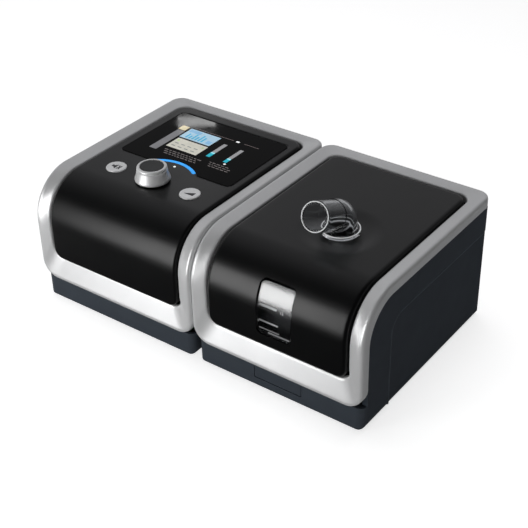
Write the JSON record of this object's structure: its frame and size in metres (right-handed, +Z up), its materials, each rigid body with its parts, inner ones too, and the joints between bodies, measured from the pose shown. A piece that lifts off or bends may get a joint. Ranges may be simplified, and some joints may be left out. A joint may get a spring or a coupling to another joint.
{
  "type": "bedside ventilator with humidifier",
  "caption": "Bedside bilevel ventilator with a screen and control knob, docked to a heated humidifier with a hinged lid and a swivelling hose outlet.",
  "frame": {"origin": "centre of the footprint, on the table under the feet", "axes": "+X to the right over the humidifier, +Y to the rear, +Z up"},
  "size_m": [0.29, 0.172, 0.1399],
  "materials": {
    "slate_plastic": "moulded, fine matt texture",
    "black_plastic": "satin moulded",
    "silver_paint": "satin silver paint with fine metallic grain",
    "screen_glass": "polished",
    "display": "lit display",
    "blue_light": "translucent, lit",
    "white_light": "translucent, lit",
    "knob_metal": "satin turned",
    "button_plastic": "satin silver paint",
    "clear_plastic": "clear polished",
    "rubber": "matt",
    "blue_rubber": "matt silicone",
    "steel": "brushed",
    "aluminium": "machined",
    "circuit_board": "solder mask",
    "component_plastic": "moulded",
    "grey_plastic": "moulded",
    "pale_plastic": "moulded",
    "copper_film": "etched film",
    "ceramic_board": "pressed board",
    "filter_foam": "felted fibre",
    "card_plastic": "moulded"
  },
  "bodies": {
    "main_unit": {"main_base_case": "slate_plastic", "main_trim_frame": "silver_paint", "main_top_cover": "black_plastic", "screen_glass": "screen_glass", "light_arc": "blue_light", "status_led": "white_light", "lcd_module": "display", "lcd_bracket": "pale_plastic", "ui_board": "circuit_board", "ui_screws": "steel", "encoder_body": "component_plastic", "button_switches": "component_plastic", "main_board": "circuit_board", "board_components": "component_plastic", "alarm_buzzer": "component_plastic", "blower_motor_housing": "grey_plastic", "blower_volute": "grey_plastic", "blower_motor": "aluminium", "blower_mounts": "rubber", "inlet_duct": "grey_plastic", "filter_housing": "grey_plastic", "inlet_filter": "filter_foam", "outlet_duct": "rubber", "outlet_spigot": "pale_plastic", "dc_inlet": "component_plastic", "card_slot": "steel", "main_case_screws": "steel", "main_feet": "rubber", "dock_plug": "component_plastic"},
    "knob_plunger": {"encoder_plunger": "pale_plastic"},
    "knob": {"encoder_shaft": "steel", "control_knob": "knob_metal", "knob_cap": "black_plastic"},
    "mute_button": {"mute_button": "button_plastic"},
    "ramp_button": {"ramp_button": "button_plastic"},
    "impeller": {"motor_shaft": "steel", "impeller": "pale_plastic"},
    "filter_cap": {"filter_cap": "slate_plastic"},
    "memory_card": {"memory_card": "card_plastic"},
    "humidifier": {"humidifier_base_case": "slate_plastic", "heater_insulator": "ceramic_board", "heater_screws": "steel", "heater_element": "copper_film", "heater_plate": "aluminium", "water_chamber": "clear_plastic", "chamber_base_plate": "steel", "chamber_gasket": "blue_rubber", "chamber_lid": "clear_plastic", "humidifier_board": "circuit_board", "inlet_seal": "rubber", "dock_socket": "component_plastic", "hinge_pins": "steel", "humidifier_feet": "rubber"},
    "lid": {"lid_trim_frame": "silver_paint", "lid_cover": "black_plastic", "lid_window": "clear_plastic", "lid_catch": "pale_plastic", "elbow_seal": "rubber"},
    "elbow": {"outlet_elbow": "clear_plastic"},
    "release_button": {"release_button": "slate_plastic"}
  },
  "joints": [
    {"name": "knob_push", "type": "slide", "parent": "main_unit", "child": "knob_plunger", "axis": [0, 0, -1], "range_m": [0, 0.0008], "stiffness_N_per_m": 400, "springref_m": -0.002},
    {"name": "knob_turn", "type": "hinge", "parent": "knob_plunger", "child": "knob", "pos_m": [-0.07, -0.035, 0.105], "axis": [0, 0, 1], "continuous": true},
    {"name": "mute_push", "type": "slide", "parent": "main_unit", "child": "mute_button", "axis": [0, 0, -1], "range_m": [0, 0.0008], "stiffness_N_per_m": 400, "springref_m": -0.002},
    {"name": "ramp_push", "type": "slide", "parent": "main_unit", "child": "ramp_button", "axis": [0, 0, -1], "range_m": [0, 0.0008], "stiffness_N_per_m": 400, "springref_m": -0.002},
    {"name": "impeller_spin", "type": "hinge", "parent": "main_unit", "child": "impeller", "pos_m": [-0.09, -0.008, 0.05], "axis": [0, 0, 1], "continuous": true},
    {"name": "filter_cap_pull", "type": "slide", "parent": "main_unit", "child": "filter_cap", "axis": [0, 1, 0], "range_m": [0, 0.025]},
    {"name": "memory_card_pull", "type": "slide", "parent": "main_unit", "child": "memory_card", "axis": [-1, 0, 0], "range_m": [0, 0.034]},
    {"name": "humidifier_undock", "type": "slide", "parent": "main_unit", "child": "humidifier", "axis": [1, 0, 0], "range_m": [0, 0.06]},
    {"name": "lid_hinge", "type": "hinge", "parent": "humidifier", "child": "lid", "pos_m": [0.0745, 0.08, 0.092], "axis": [-1, 0, 0], "range_deg": [0, 75]},
    {"name": "elbow_swivel", "type": "hinge", "parent": "lid", "child": "elbow", "pos_m": [0.0815, -0.0155, 0.1], "axis": [0, 0, 1], "continuous": true},
    {"name": "release_push", "type": "slide", "parent": "humidifier", "child": "release_button", "axis": [0, 1, 0], "range_m": [0, 0.002], "stiffness_N_per_m": 500, "springref_m": -0.002}
  ]
}
